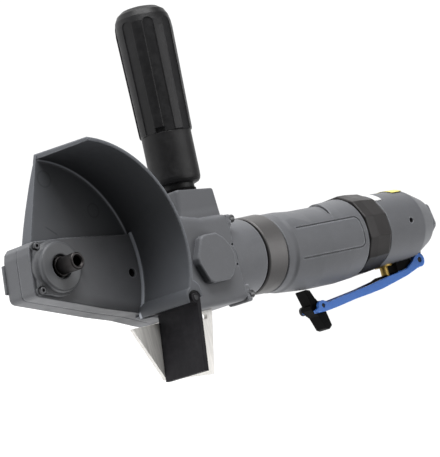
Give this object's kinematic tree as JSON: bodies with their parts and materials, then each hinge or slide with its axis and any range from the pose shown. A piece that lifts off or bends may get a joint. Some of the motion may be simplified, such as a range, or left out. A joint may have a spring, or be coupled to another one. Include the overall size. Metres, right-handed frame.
{
  "type": "pneumatic grinder with spindle hood",
  "caption": "Straight-barrel air grinder with an offset spindle arm under a curved guard hood, an upright side handle and a throttle lever with lock-off.",
  "frame": {"origin": "on the spindle axis, in the plane the tool lies on", "axes": "+X along the barrel to the air inlet, +Y along the upright handle, +Z out of the spindle nose"},
  "size_m": [0.2946, 0.1978, 0.0603],
  "materials": {
    "housing_grey": "satin grey powder coat",
    "hood_grey": "satin dark grey coat",
    "collar_dark": "charcoal satin",
    "ring_metal": "turned satin",
    "bright_steel": "ground",
    "dark_screw": "black oxide",
    "plate_metal": "light zinc",
    "black_rubber": "matt moulded",
    "black_plastic": "matt moulded",
    "flap_black": "matt sheet",
    "lever_blue": "satin blue coat",
    "brass": "turned",
    "felt": "felt",
    "aluminium": "machined",
    "phenolic": "laminate",
    "gear_steel": "hardened"
  },
  "bodies": {
    "housing_unit": {"gear_housing": "housing_grey", "back_cover": "housing_grey", "back_cover_screws": "dark_screw", "side_cover": "housing_grey", "arm_plug": "dark_screw", "guard_hood": "hood_grey", "hood_screws": "dark_screw", "spindle_retainer": "housing_grey", "retainer_screws": "bright_steel", "motor_flange": "housing_grey", "flange_screws": "dark_screw", "lock_ring": "ring_metal", "grip_housing": "housing_grey", "exhaust_collar": "collar_dark", "exhaust_felt": "felt", "rear_housing": "housing_grey", "inlet_bushing": "bright_steel", "housing_pin": "dark_screw", "front_end_plate": "aluminium", "motor_cylinder": "gear_steel", "rear_end_plate": "aluminium", "spindle_outer_rings": "bright_steel", "jackshaft_outer_rings": "bright_steel", "rotor_outer_rings": "bright_steel", "handle_stud": "bright_steel", "handle_washer": "plate_metal", "handle_sleeve": "black_plastic", "handle_grip": "black_rubber", "accelerator_bar": "dark_screw", "flap": "flap_black", "bracket_plate": "plate_metal", "bracket_screws": "dark_screw", "throttle_pin": "dark_screw", "valve_bushing": "brass", "valve_seat": "black_rubber", "valve_spring": "bright_steel", "valve_block": "black_plastic", "drive_belt": "black_rubber"},
    "rotor_unit": {"rotor": "gear_steel", "rotor_vanes": "phenolic", "bevel_pinion": "gear_steel", "rotor_inner_rings": "bright_steel"},
    "jackshaft_unit": {"jackshaft": "bright_steel", "bevel_gear": "gear_steel", "jackshaft_pulley": "aluminium", "jackshaft_nut": "bright_steel", "jackshaft_inner_rings": "bright_steel"},
    "spindle_unit": {"spindle": "bright_steel", "spindle_pulley": "aluminium", "spindle_spacer": "bright_steel", "spindle_inner_rings": "bright_steel"},
    "throttle_unit": {"throttle_lever": "lever_blue", "lock_pin": "bright_steel", "lever_pad": "black_plastic"},
    "lock_unit": {"lock_lever": "black_plastic", "lock_spring": "bright_steel"},
    "valve_unit": {"valve_stem": "brass"}
  },
  "joints": [
    {"name": "rotor_spin", "type": "hinge", "parent": "housing_unit", "child": "rotor_unit", "pos_m": [0.15, -0.0128, 0.023], "axis": [1, 0, 0], "continuous": true},
    {"name": "jackshaft_spin", "type": "hinge", "parent": "housing_unit", "child": "jackshaft_unit", "pos_m": [0.0872, -0.0128, 0.023], "axis": [0, 0, 1], "continuous": true},
    {"name": "spindle_spin", "type": "hinge", "parent": "housing_unit", "child": "spindle_unit", "pos_m": [0, 0, 0.02], "axis": [0, 0, 1], "continuous": true},
    {"name": "throttle_press", "type": "hinge", "parent": "housing_unit", "child": "throttle_unit", "pos_m": [0.2605, -0.0345, 0.023], "axis": [0, 0, 1], "range_deg": [-4.5, 0], "stiffness_Nm_per_rad": 3, "springref_deg": 2.86},
    {"name": "lock_swing", "type": "hinge", "parent": "throttle_unit", "child": "lock_unit", "pos_m": [0.1739, -0.0479, 0.023], "axis": [0, 0, 1], "range_deg": [0, 58.5], "deforming": ["lock_spring"]},
    {"name": "valve_slide", "type": "slide", "parent": "housing_unit", "child": "valve_unit", "axis": [0, 1, 0], "range_m": [0, 0.0018], "deforming": ["valve_spring"]}
  ],
  "couplings": [
    {"joint": "jackshaft_spin", "follows": "rotor_spin", "ratio": -0.33333},
    {"joint": "spindle_spin", "follows": "rotor_spin", "ratio": -0.33333},
    {"joint": "lock_swing", "follows": "throttle_press", "ratio": -13},
    {"joint": "valve_slide", "follows": "throttle_press", "m_per_rad": -0.0224}
  ]
}
